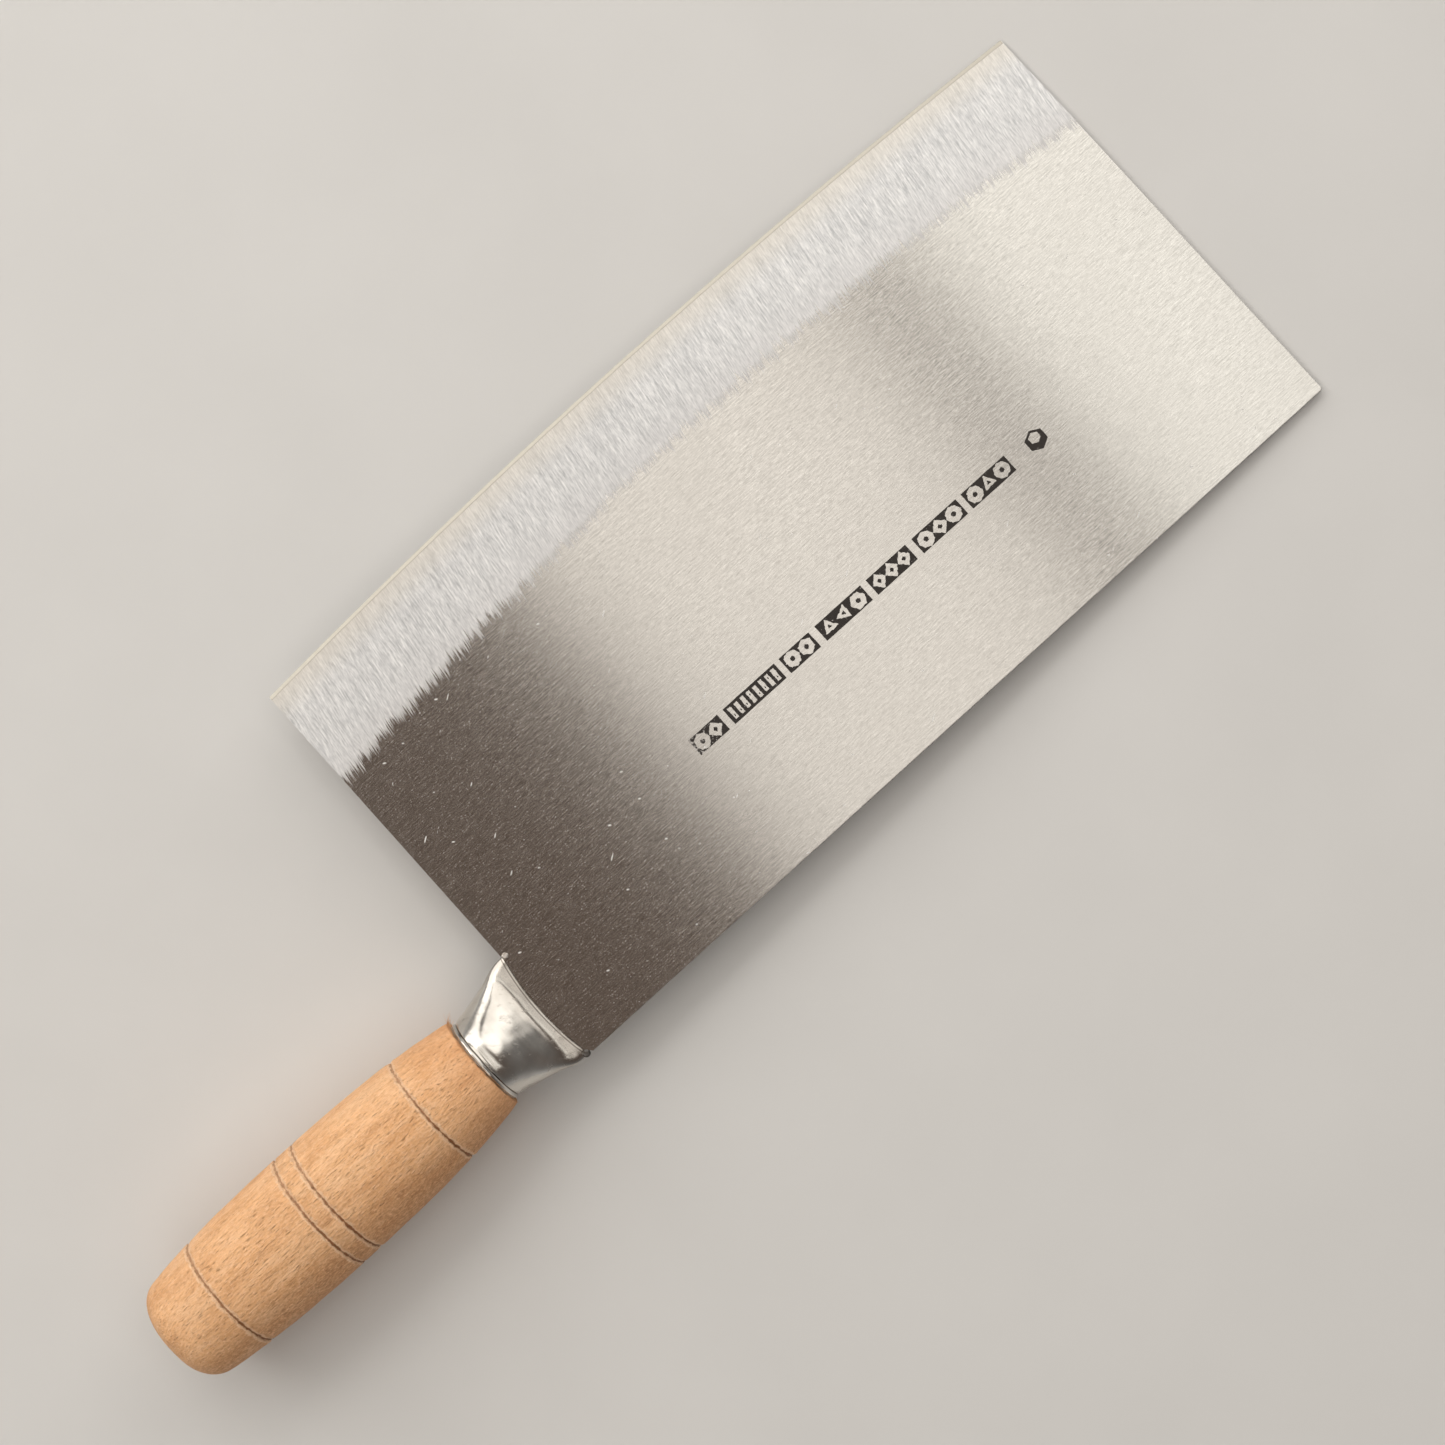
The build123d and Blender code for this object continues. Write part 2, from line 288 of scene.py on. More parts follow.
def grain(finish, place, stretch, detail=3.0, rough=0.5, turn=0.0, shift=0.0):
    """Soft mottling with so many spots to a millimetre each way."""
    noise = add_node(
        finish,
        "ShaderNodeTexNoise",
        {
            "Vector": stretched(finish, place, stretch, turn, shift),
            "Scale": 1.0,
            "Detail": detail,
            "Roughness": rough,
        },
    )
    return noise.outputs["Fac"]


def reckon(finish, operation, *values, clamp=False):
    """One sum, product or comparison of two values."""
    return add_node(
        finish, "ShaderNodeMath", dict(enumerate(values)), operation=operation, use_clamp=clamp
    ).outputs[0]


def spread(finish, value, low, high, to_low=0.0, to_high=1.0, soft=False):
    """Spreads the part of a value between low and high over another range."""
    return add_node(
        finish,
        "ShaderNodeMapRange",
        {"Value": value, "From Min": low, "From Max": high, "To Min": to_low, "To Max": to_high},
        interpolation_type="SMOOTHSTEP" if soft else "LINEAR",
    ).outputs[0]


def tint(finish, share, first, second, way="MIX"):
    """Mixes two colours by a share."""
    return add_node(
        finish, "ShaderNodeMix", {0: share, 6: first, 7: second}, data_type="RGBA", blend_type=way
    ).outputs[2]


def relief(finish, height, depth, strength=1.0):
    """Fine relief of a depth in millimetres from a height."""
    return add_node(
        finish, "ShaderNodeBump", {"Height": height, "Distance": depth * MILLIMETRE, "Strength": strength}
    ).outputs["Normal"]


def shine_spread(finish, x, y, z):
    """The way a brushed surface's shine spreads, which is square to the brushing."""
    return add_node(finish, "ShaderNodeCombineXYZ", {"X": x, "Y": y, "Z": z}).outputs[0]


def set_surface(finish, shader):
    """Makes a shader the finish's surface."""
    add_node(finish, "ShaderNodeOutputMaterial", {"Surface": shader})


def dents_seen(finish, place, cells, turn, rarity, size):
    """Where small dents show: one in each cell, as long as the cells, and fewer as the rarity rises."""
    spots = add_node(
        finish,
        "ShaderNodeTexVoronoi",
        {"Vector": stretched(finish, place, cells, turn), "Scale": 1.0},
        voronoi_dimensions="2D",
        feature="F1",
    )
    chance = grain(finish, place, (0.3, 0.3, 1.0), 1.0, 0.5, shift=12.0 + 40 * turn)
    reach = spread(finish, chance, rarity, rarity + 0.15, 0.0, size)
    return reckon(finish, "LESS_THAN", spots.outputs["Distance"], reach)


def ground_steel():
    """Brushed cheeks and crosswise ground bevels, meeting in a ragged comb, with nicks and a bright edge."""
    finish = new_finish("ground_steel")
    place = drawn_place(finish)
    across = add_node(finish, "ShaderNodeSeparateXYZ", {"Vector": place})
    x, y = across.outputs["X"], across.outputs["Y"]
    from_middle = spread(finish, x, 0.0, PLATE_LENGTH, -1.0, 1.0)
    bow = reckon(finish, "MULTIPLY", from_middle, from_middle)
    grind_y = EDGE_Y + EDGE_BELLY - BEVEL_AT_MIDDLE
    grind_line = reckon(finish, "MULTIPLY_ADD", bow, BEVEL_AT_ENDS - BEVEL_AT_MIDDLE + EDGE_BELLY, -grind_y)
    into_bevel = reckon(finish, "ADD", y, grind_line)
    edge_line = reckon(finish, "MULTIPLY_ADD", bow, EDGE_BELLY, -(EDGE_Y + EDGE_BELLY))
    from_edge = reckon(finish, "MULTIPLY", reckon(finish, "ADD", y, edge_line), -1.0)

    long_grain = grain(finish, place, (0.2, 3.6, 1.0), 4.0, 0.65)
    short_grain = grain(finish, place, (0.75, 3.6, 1.0), 3.0, 0.7, shift=31.0)
    clouds = grain(finish, place, (0.045, 0.03, 1.0), 3.0, 0.5, shift=70.0)
    brushing = reckon(finish, "ADD", long_grain, short_grain)
    cheek_tone = tint(
        finish, spread(finish, brushing, 0.75, 1.25), (0.44, 0.425, 0.4, 1), (0.73, 0.71, 0.675, 1)
    )
    cheek_tone = tint(finish, spread(finish, clouds, 0.35, 0.7, 0.0, 0.4), cheek_tone, (0.54, 0.52, 0.49, 1))

    nicks_seen = dents_seen(finish, place, (0.11, 0.26, 1.0), 0.5, 0.54, 0.045)
    scratched = dents_seen(finish, place, (0.035, 0.3, 1.0), -0.6, 0.55, 0.055)
    glints = grain(finish, place, (2.2, 4.4, 1.0), 2.0, 0.6, shift=47.0)
    marks = reckon(finish, "MAXIMUM", nicks_seen, scratched)
    cheek_tone = tint(finish, marks, cheek_tone, (0.92, 0.91, 0.89, 1))
    cheek_rough = spread(finish, brushing, 0.7, 1.3, 0.165, 0.245)
    cheek_rough = reckon(finish, "ADD", cheek_rough, spread(finish, glints, 0.54, 0.74, 0.0, 0.09))
    cheek_rough = reckon(finish, "MULTIPLY_ADD", marks, 0.5, cheek_rough)
    cheek_relief = relief(finish, reckon(finish, "MULTIPLY_ADD", marks, 0.6, brushing), 0.0004)
    cheek_shader = add_node(
        finish,
        "ShaderNodeBsdfPrincipled",
        {
            "Base Color": cheek_tone,
            "Metallic": 1.0,
            "Roughness": cheek_rough,
            "Anisotropic": 0.85,
            "Tangent": shine_spread(finish, 0.0, 1.0, 0.0),
            "Normal": cheek_relief,
        },
    ).outputs[0]

    streaks = grain(finish, place, (3.4, 0.16, 1.0), 4.0, 0.65, turn=0.14)
    short_streaks = grain(finish, place, (3.6, 0.6, 1.0), 3.0, 0.65, turn=0.14, shift=9.0)
    crossing = reckon(finish, "ADD", streaks, short_streaks)
    bevel_tone = tint(
        finish, spread(finish, crossing, 0.72, 1.28), (0.46, 0.47, 0.485, 1), (0.86, 0.86, 0.86, 1)
    )
    first_cut = spread(finish, into_bevel, 0.0, 9.0, 0.3, 0.0, soft=True)
    bevel_tone = tint(finish, first_cut, bevel_tone, (0.62, 0.6, 0.6, 1))
    creamy = spread(finish, from_edge, 1.0, 8.0, 0.5, 0.0, soft=True)
    bevel_tone = tint(finish, creamy, bevel_tone, (0.72, 0.67, 0.58, 1))
    # Painted shade: a soft dark line along the grind line, where the bevel meets the cheek
    grind_line_shade = spread(finish, reckon(finish, "ABSOLUTE", into_bevel), 0.3, 1.8, 0.35, 0.0, soft=True)
    bevel_tone = tint(finish, grind_line_shade, bevel_tone, (0.42, 0.41, 0.4, 1))
    honed = spread(finish, from_edge, HONED_WIDTH, HONED_WIDTH + 0.2, 1.0, 0.0)
    bevel_tone = tint(finish, honed, bevel_tone, (0.34, 0.32, 0.28, 1))
    bevel_shader = add_node(
        finish,
        "ShaderNodeBsdfPrincipled",
        {
            "Base Color": bevel_tone,
            "Metallic": 1.0,
            "Roughness": spread(finish, crossing, 0.7, 1.3, 0.34, 0.44),
            "Anisotropic": 0.6,
            "Tangent": shine_spread(finish, math.cos(tilt), 0.0, -math.sin(tilt)),
            "Normal": relief(finish, crossing, 0.002),
        },
    ).outputs[0]

    wide_teeth = grain(finish, place, (0.7, 0.02, 1.0), 2.0, 0.5, turn=0.14)
    comb = spread(finish, wide_teeth, 0.3, 0.7, -1.1, 1.1)
    fine_teeth = grain(finish, place, (3.6, 0.06, 1.0), 3.0, 0.7, turn=0.14)
    fine_comb = spread(finish, fine_teeth, 0.3, 0.7, -2.3, 2.3)
    ragged = reckon(finish, "ADD", reckon(finish, "ADD", comb, fine_comb), into_bevel)
    on_bevel = spread(finish, ragged, -0.5, 0.7, soft=True)
    mixed = add_node(finish, "ShaderNodeMixShader", {0: on_bevel, 1: cheek_shader, 2: bevel_shader})
    set_surface(finish, mixed.outputs[0])
    return finish


blade_finish = ground_steel()
blade.data.materials.append(blade_finish)
lay_on_table(blade)
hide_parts("blade")
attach(blade, "root")

# ----------------------------------------------------------------------------------------------------
# Etched row
# A generic row of dark plaques on the upper cheek, with plain geometric marks left bright in them. It is
# etched through a stencil, so its outlines are ragged. Plaques and marks are thin films, one on another.
# ----------------------------------------------------------------------------------------------------

ROW_Y = 19.7
ROW_HEIGHT = 4.2
# Each plaque as its two ends along the blade, and how many marks it holds, or bars in the second
ROW_PLAQUES = [
    (61.1, 69.5, 2),
    (71.1, 86.1, 8),
    (87.5, 96.2, 2),
    (98.0, 111.4, 3),
    (113.0, 124.6, 3),
    (126.4, 139.4, 3),
    (140.9, 153.6, 3),
]
LONE_MARK_AT = (161.2, 19.6)
LONE_MARK_SIZE = (5.4, 5.0)
ETCH_FILM = 0.01


def ragged_patch(name, outline_sides, middle, size, height, seed, cuts, roughness, turned=0.0):
    """A flat patch of so many sides with an uneven outline, lying this high over the plate's middle plane."""
    reach = math.sqrt(0.5) if outline_sides == 4 and turned == math.pi / 4 else 0.5
    bpy.ops.object.select_all(action="DESELECT")
    bpy.ops.mesh.primitive_circle_add(
        vertices=outline_sides, radius=reach, fill_type="NGON", rotation=(0, 0, turned)
    )
    patch = bpy.context.object
    bpy.ops.object.transform_apply(location=False, rotation=True, scale=False)
    patch.name = name
    patch.scale = (size[0], size[1], 1)
    patch.location = (middle[0], middle[1], height)
    bpy.ops.object.transform_apply(location=True, rotation=False, scale=True)
    bpy.ops.object.mode_set(mode="EDIT")
    bpy.ops.mesh.select_all(action="SELECT")
    bpy.ops.mesh.subdivide(number_cuts=cuts)
    bpy.ops.transform.vertex_random(offset=roughness, seed=seed)
    bpy.ops.transform.resize(value=(1, 1, 0), center_override=(0, 0, height))
    bpy.ops.mesh.extrude_region_move(TRANSFORM_OT_translate={"value": (0, 0, ETCH_FILM)})
    bpy.ops.mesh.select_all(action="SELECT")
    bpy.ops.mesh.normals_make_consistent(inside=False)
    bpy.ops.object.mode_set(mode="OBJECT")
    return patch


def etched_oxide():
    """Dark etched steel, thin in places, so that bright specks of the cheek show through."""
    finish = new_finish("etched_oxide")
    place = drawn_place(finish)
    across = add_node(finish, "ShaderNodeSeparateXYZ", {"Vector": place})
    specks = grain(finish, place, (1.3, 1.8, 1.0), 4.0, 0.6)
    worn = spread(finish, across.outputs["X"], ROW_PLAQUES[0][0], ROW_PLAQUES[0][1], 0.16, 0.0)
    thin = reckon(finish, "ADD", specks, worn)
    tone = tint(finish, spread(finish, thin, 0.64, 0.74), (0.032, 0.027, 0.024, 1), (0.5, 0.48, 0.46, 1))
    shader = add_node(
        finish,
        "ShaderNodeBsdfPrincipled",
        {
            "Base Color": tone,
            "Metallic": 0.6,
            "Roughness": spread(finish, specks, 0.3, 0.7, 0.6, 0.42),
            "Normal": relief(finish, specks, 0.01),
        },
    )
    set_surface(finish, shader.outputs[0])
    return finish


etch_finish = etched_oxide()
row_pieces = []
mark_shapes = random.Random(21)


def lay_mark(sides, middle, size, layer, finish, seed, raggedness, turned=0.0):
    """Lays one mark of the row on the patches below it."""
    height = HALF_PLATE + layer * ETCH_FILM
    mark = ragged_patch("mark", sides, middle, size, height, seed, 24 // sides, raggedness, turned)
    mark.data.materials.append(finish)
    row_pieces.append(mark)


for number, (start, end, marks_in_plaque) in enumerate(ROW_PLAQUES):
    plaque_size = (end - start, ROW_HEIGHT)
    lay_mark(4, ((start + end) / 2, ROW_Y), plaque_size, 0, etch_finish, number, 0.05, math.pi / 4)
    pitch = (end - start - 0.8) / marks_in_plaque
    for i in range(marks_in_plaque):
        middle = (start + 0.4 + pitch * (i + 0.5), ROW_Y + mark_shapes.uniform(-0.1, 0.1))
        seed = 10 * number + i
        if marks_in_plaque > 4:
            lay_mark(4, middle, (0.95, 2.9), 1, blade_finish, seed, 0.12, math.pi / 4)
            slot_middle = (middle[0], middle[1] + mark_shapes.choice([-0.6, 0.6]))
            lay_mark(4, slot_middle, (0.3, 0.7), 2, etch_finish, seed, 0.1)
            continue
        sides = mark_shapes.choice([3, 4, 6, 8])
        turn = mark_shapes.choice([0.0, math.pi / 2])
        lay_mark(sides, middle, (0.98 * pitch, 3.8), 1, blade_finish, seed, 0.2, turn)
        lay_mark(sides, middle, (0.3 * pitch, 1.2), 2, etch_finish, seed + 3, 0.16, turn)
lay_mark(6, LONE_MARK_AT, LONE_MARK_SIZE, 0, etch_finish, 90, 0.08)
lay_mark(6, (LONE_MARK_AT[0], LONE_MARK_AT[1] + 0.6), (2.9, 2.6), 1, blade_finish, 91, 0.08)
bpy.ops.object.select_all(action="DESELECT")
for patch in row_pieces:
    patch.select_set(True)
bpy.context.view_layer.objects.active = row_pieces[0]
bpy.ops.object.join()
etched_row = bpy.context.object
etched_row.name = "etched_row"
etched_row.data.name = "etched_row"
lay_on_table(etched_row)
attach(etched_row, "root")

# ----------------------------------------------------------------------------------------------------
# Ferrule
# A steel tube, round with a rolled lip where it grips the handle and pressed flat over the blade's root, its
# mouth hollowed to the heel. It is polished bright, then lightly scuffed, and held by two corner welds.
# ----------------------------------------------------------------------------------------------------

FERRULE_LENGTH = 18.3
FERRULE_WALL = 0.9
FERRULE_SEGMENTS = 96
FERRULE_RINGS = 26
FERRULE_STATIONS = [
    (0.00, 10.3, 10.3),
    (0.25, 11.0, 9.2),
    (0.60, 12.6, 5.4),
    (0.82, 14.0, 2.7),
    (1.00, 14.25, 1.95),
]
# The rolled lip, as distance from the tube's end and how far it stands proud of the tube
LIP_RINGS = [
    (0.0, -0.1),
    (0.12, 0.12),
    (0.4, 0.25),
    (0.75, 0.2),
    (1.0, -0.02),
    (1.15, -0.14),
    (1.35, 0.0),
]
TUBE_RADIUS = FERRULE_STATIONS[0][1]
FIRST_TUBE_RING = 1.8
HOLLOW_STARTS_AT = 0.15
# Where the slit behind the rolled lip, darkened with painted shade, and the painted dark reflection line
# behind the mouth lie
SLIT_X = -17.12
DARK_REFLECTION_BEHIND_MOUTH = 0.55


def tube_half_size(share, column):
    """The half width or half height at a share of the ferrule's length, smooth from station to station."""
    last = len(FERRULE_STATIONS) - 1
    i = max(n for n in range(last) if FERRULE_STATIONS[n][0] <= share + 1e-9)
    before, here = FERRULE_STATIONS[max(i - 1, 0)], FERRULE_STATIONS[i]
    there, after = FERRULE_STATIONS[i + 1], FERRULE_STATIONS[min(i + 2, last)]
    run = there[0] - here[0]
    slope_here = (there[column] - before[column]) / (there[0] - before[0])
    slope_there = (after[column] - here[column]) / (after[0] - here[0])
    t = (share - here[0]) / run
    return (
        here[column] * (2 * t**3 - 3 * t**2 + 1)
        + there[column] * (3 * t**2 - 2 * t**3)
        + slope_here * run * (t**3 - 2 * t**2 + t)
        + slope_there * run * (t**3 - t**2)
    )


def grow_ring(x, last_size, new_size, step):
    """Draws the open end of a tube on by one ring of a new half width and half height."""
    bpy.ops.mesh.extrude_edges_move(TRANSFORM_OT_translate={"value": (step, 0, 0)})
    ratio = (1, new_size[0] / last_size[0], new_size[1] / last_size[1])
    bpy.ops.transform.resize(value=ratio, center_override=(x, 0, 0))


tube_end = -FERRULE_LENGTH
rings = [(tube_end + at, TUBE_RADIUS + proud, TUBE_RADIUS + proud) for at, proud in LIP_RINGS]
first_share = FIRST_TUBE_RING / FERRULE_LENGTH
for i in range(FERRULE_RINGS + 1):
    share = first_share + (1 - first_share) * i / FERRULE_RINGS
    rings.append((tube_end + share * FERRULE_LENGTH, tube_half_size(share, 1), tube_half_size(share, 2)))

bpy.ops.object.select_all(action="DESELECT")
bpy.ops.mesh.primitive_circle_add(
    vertices=FERRULE_SEGMENTS, radius=rings[0][1], location=(tube_end, 0, 0), rotation=(0, math.pi / 2, 0)
)
ferrule = start_piece("ferrule_shell")
bpy.ops.mesh.select_all(action="SELECT")
for before, after in zip(rings, rings[1:]):
    grow_ring(after[0], before[1:], after[1:], after[0] - before[0])

# The mouth is hollowed: each line along the tube is shortened by its share of the hollow
for i in range(FERRULE_SEGMENTS // 4 + 1):
    y_share = math.cos(2 * math.pi * i / FERRULE_SEGMENTS)
    hollow = MOUTH_HOLLOW * (1 - y_share**2)

    def on_line(at):
        share = (at.x - tube_end) / FERRULE_LENGTH
        if share < HOLLOW_STARTS_AT:
            return False
        return abs(abs(at.y) / tube_half_size(share, 1) - y_share) < 0.0005

    pick(ferrule, "verts", on_line)
    drawn_length = FERRULE_LENGTH * (1 - HOLLOW_STARTS_AT)
    squeeze = (drawn_length - hollow) / drawn_length
    hollow_start = tube_end + HOLLOW_STARTS_AT * FERRULE_LENGTH
    bpy.ops.transform.resize(value=(squeeze, 1, 1), center_override=(hollow_start, 0, 0))
close_piece(ferrule, 40)


def apply_modifier(piece, kind, **options):
    """Adds one modifier to a piece and applies it."""
    bpy.ops.object.select_all(action="DESELECT")
    piece.select_set(True)
    bpy.context.view_layer.objects.active = piece
    modifier = piece.modifiers.new(kind.lower(), kind)
    for option, value in options.items():
        setattr(modifier, option, value)
    bpy.ops.object.modifier_apply(modifier=modifier.name)


def uneven(piece, name, spot_size, depth):
    """Makes a surface slightly uneven, with dents of a size and depth in millimetres."""
    dents = bpy.data.textures.new(name, "CLOUDS")
    dents.noise_scale = spot_size
    dents.noise_depth = 1
    apply_modifier(piece, "DISPLACE", texture=dents, strength=depth, mid_level=1.0, texture_coords="LOCAL")


apply_modifier(ferrule, "SOLIDIFY", thickness=FERRULE_WALL, offset=-1.0, use_even_offset=True)
apply_modifier(ferrule, "BEVEL", width=0.16, segments=3, limit_method="ANGLE", angle_limit=math.radians(60))
apply_modifier(ferrule, "SUBSURF", levels=1, render_levels=1)
uneven(ferrule, "pressing_dents", 5.0, 0.16)
bpy.ops.object.shade_smooth_by_angle(angle=math.radians(50))


def polished_steel():
    """Bright polished steel with faint lines round it and scuffs, painted shade behind the rolled lip and
    near the mouth, and a painted dark reflection line behind the mouth.
    """
    finish = new_finish("polished_steel")
    place = drawn_place(finish)
    across = add_node(finish, "ShaderNodeSeparateXYZ", {"Vector": place})
    lines = grain(finish, place, (1.6, 0.12, 0.12), 4.0, 0.6)
    scuffs = grain(finish, place, (0.22, 0.5, 0.5), 5.0, 0.65, turn=0.6)
    smears = grain(finish, place, (0.1, 0.16, 0.16), 2.0, 0.5, shift=20.0)
    tone = tint(finish, spread(finish, smears, 0.35, 0.65), (0.5, 0.47, 0.43, 1), (0.67, 0.64, 0.595, 1))
    scuffed = spread(finish, scuffs, 0.57, 0.72)
    tone = tint(finish, reckon(finish, "MULTIPLY", scuffed, 0.6), tone, (0.36, 0.33, 0.29, 1))
    from_slit = reckon(finish, "ABSOLUTE", reckon(finish, "ADD", across.outputs["X"], -SLIT_X))
    # Painted shade: the slit behind the rolled lip is coloured almost black
    slit_shade = spread(finish, from_slit, 0.05, 0.2)
    tone = tint(finish, slit_shade, (0.1, 0.085, 0.07, 1), tone)
    mouth_share = reckon(finish, "DIVIDE", across.outputs["Y"], MOUTH_HALF_WIDTH)
    mouth_bow = reckon(finish, "MULTIPLY", mouth_share, mouth_share)
    mouth_x = reckon(finish, "MULTIPLY_ADD", mouth_bow, MOUTH_HOLLOW, -MOUTH_HOLLOW)
    from_mouth = reckon(finish, "SUBTRACT", mouth_x, across.outputs["X"])
    # Painted shade: the steel within a few millimetres of the mouth is darkened to tone down a reflection
    mouth_shade = spread(finish, from_mouth, 3.0, 7.0, 0.45, 0.0, soft=True)
    tone = tint(finish, mouth_shade, tone, (0.36, 0.335, 0.3, 1))
    # Painted reflection: a thin dark line just behind the mouth, standing in for dark surroundings mirrored
    # by the rim
    from_dark_reflection = reckon(finish, "ABSOLUTE", reckon(finish, "ADD", from_mouth, -DARK_REFLECTION_BEHIND_MOUTH))
    tone = tint(finish, spread(finish, from_dark_reflection, 0.05, 0.2, 0.75, 0.0), tone, (0.12, 0.1, 0.085, 1))
    rough = spread(finish, lines, 0.3, 0.7, 0.15, 0.22)
    rough = reckon(finish, "MULTIPLY_ADD", scuffed, 0.2, rough)
    shader = add_node(
        finish,
        "ShaderNodeBsdfPrincipled",
        {
            "Base Color": tone,
            "Metallic": 1.0,
            "Roughness": rough,
            "Normal": relief(finish, reckon(finish, "MULTIPLY_ADD", scuffed, 0.5, lines), 0.007),
        },
    )
    set_surface(finish, shader.outputs[0])
    return finish


ferrule.data.materials.append(polished_steel())
lay_on_table(ferrule)
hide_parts("ferrule")
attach(ferrule, "root")

# ----------------------------------------------------------------------------------------------------
# Corner welds
# Two small steel beads run through the plate at the corners of the ferrule's mouth and hold the ferrule down.
# The one on the edge side is bright, and the one at the spine is coloured dark as painted shade for a notch.
# ----------------------------------------------------------------------------------------------------

BEAD_CAP = 0.5
BEADS = [
    ("edge_side_bead", "edge_side_weld", (0.6, 13.85), 0.9, 0.8),
    # The spine-side bead's low brightness is painted shade
    ("spine_side_bead", "spine_side_weld", (-0.4, -13.5), 1.0, 0.16),
]


def weld_steel(name, brightness):
    """Once molten steel, rippled, with heat tints round it."""
    finish = new_finish(name)
    place = drawn_place(finish)
    ripples = grain(finish, place, (1.5, 1.5, 1.5), 4.0, 0.6)
    cool = (brightness, brightness * 0.97, brightness * 0.93, 1)
    burnt = (brightness * 0.4, brightness * 0.34, brightness * 0.29, 1)
    shader = add_node(
        finish,
        "ShaderNodeBsdfPrincipled",
        {
            "Base Color": tint(finish, spread(finish, ripples, 0.4, 0.65), burnt, cool),
            "Metallic": 1.0,
            "Roughness": spread(finish, ripples, 0.3, 0.7, 0.42, 0.24),
            "Normal": relief(finish, ripples, 0.05),
        },
    )
    set_surface(finish, shader.outputs[0])
    return finish


for name, node, (bead_x, bead_y), radius, brightness in BEADS:
    bpy.ops.object.select_all(action="DESELECT")
    bpy.ops.mesh.primitive_cylinder_add(
        vertices=24, radius=radius, depth=2 * (HALF_PLATE + BEAD_CAP), location=(bead_x, bead_y, 0)
    )
    bead = start_piece(name)
    pick(bead, "faces", lambda at, way: abs(way.z) > 0.9)
    bpy.ops.mesh.inset(thickness=radius * 0.35)
    bpy.ops.mesh.inset(thickness=radius * 0.3)
    pick(bead, "verts", lambda at: (at.xy - Vector((bead_x, bead_y))).length > radius * 0.9)
    bpy.ops.transform.resize(value=(1, 1, 0.86), center_override=(bead_x, bead_y, 0))
    close_piece(bead, 60)
    apply_modifier(bead, "SUBSURF", levels=2, render_levels=2)
    uneven(bead, name + "_ripples", 0.6, 0.12)
    bead.data.materials.append(weld_steel(name + "_steel", brightness))
    lay_on_table(bead)
    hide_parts(node)
    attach(bead, "root")

# ----------------------------------------------------------------------------------------------------
# Handle
# A barrel turned from one billet of pale, close-grained wood, with four fine grooves cut on the lathe, a
# tenon that fills the ferrule, and a domed butt. It is sanded, not lacquered, so fibres stand at cut edges.
# ----------------------------------------------------------------------------------------------------

HANDLE_LENGTH = 89.6
FRONT_X = -FERRULE_LENGTH
BUTT_X = FRONT_X - HANDLE_LENGTH
BELLY_X = FRONT_X - 46.2
BELLY_RADIUS = 14.77
FRONT_RADIUS = 11.6
BUTT_RADIUS = 11.7
FALL_POWER = 2.6
GROOVES = [14.9, 42.4, 47.4, 73.0]
GROOVE_DEPTH = 0.45
SHALLOW_PLACES = 9
SHALLOWER = 1.009
LIP_TEAR = 0.26
TORN_LIP_SHARE = 0.983
# Rings across one groove, as distance from its middle and share of its depth
GROOVE_RINGS = [
    (0.75, 0.0),
    (0.42, -0.12),
    (0.3, 0.12),
    (0.08, 1.0),
    (-0.08, 1.0),
    (-0.3, 0.12),
    (-0.42, -0.12),
    (-0.75, 0.0),
]
HANDLE_SEGMENTS = 120
RING_PITCH = 1.5
BUTT_CORNER_AT = (6.63, 6.71)
BUTT_CORNER_RADIUS = 6.0
BUTT_CORNER_TURN = (9.0, 79.3)
BUTT_DOME_RADIUS = 42.0
TENON = [(0.0, 9.3), (4.5, 7.6)]
CLENCH_ROOM_MIDDLE = (BUTT_X - 1.4, -3.65, 0)
CLENCH_ROOM_SIZE = (7.2, 10.1, 4.2)


def barrel_radius(x):
    """The handle's radius: greatest at its belly and falling away to both ends."""
    ahead = x > BELLY_X
    reach = FRONT_X - BELLY_X if ahead else BELLY_X - BUTT_X
    end_radius = FRONT_RADIUS if ahead else BUTT_RADIUS
    return BELLY_RADIUS - (BELLY_RADIUS - end_radius) * (abs(x - BELLY_X) / reach) ** FALL_POWER


side = [(FRONT_X, FRONT_RADIUS - 0.5), (FRONT_X - 0.15, FRONT_RADIUS - 0.15), (FRONT_X - 0.5, FRONT_RADIUS)]
groove_xs = [FRONT_X - at for at in GROOVES]
corner_start = BUTT_X + BUTT_CORNER_AT[0] - 0.8
x = FRONT_X - RING_PITCH
while x > corner_start:
    if all(abs(x - middle) > 1.2 for middle in groove_xs):
        side.append((x, barrel_radius(x)))
    x -= RING_PITCH
for middle in groove_xs:
    for at, share in GROOVE_RINGS:
        side.append((middle + at, barrel_radius(middle) - share * GROOVE_DEPTH))
side.sort(key=lambda point: -point[0])
corner_x, corner_r = BUTT_X + BUTT_CORNER_AT[0], BUTT_CORNER_AT[1]
first_turn, last_turn = BUTT_CORNER_TURN
for i in range(11):
    turn = math.radians(first_turn + (last_turn - first_turn) * i / 10)
    out, back = BUTT_CORNER_RADIUS * math.cos(turn), BUTT_CORNER_RADIUS * math.sin(turn)
    side.append((corner_x - back, corner_r + out))
for r in (6.4, 5.0, 3.4, 2.0):
    side.append((BUTT_X + r * r / (2 * BUTT_DOME_RADIUS), r))
side.append((BUTT_X, 1.0))

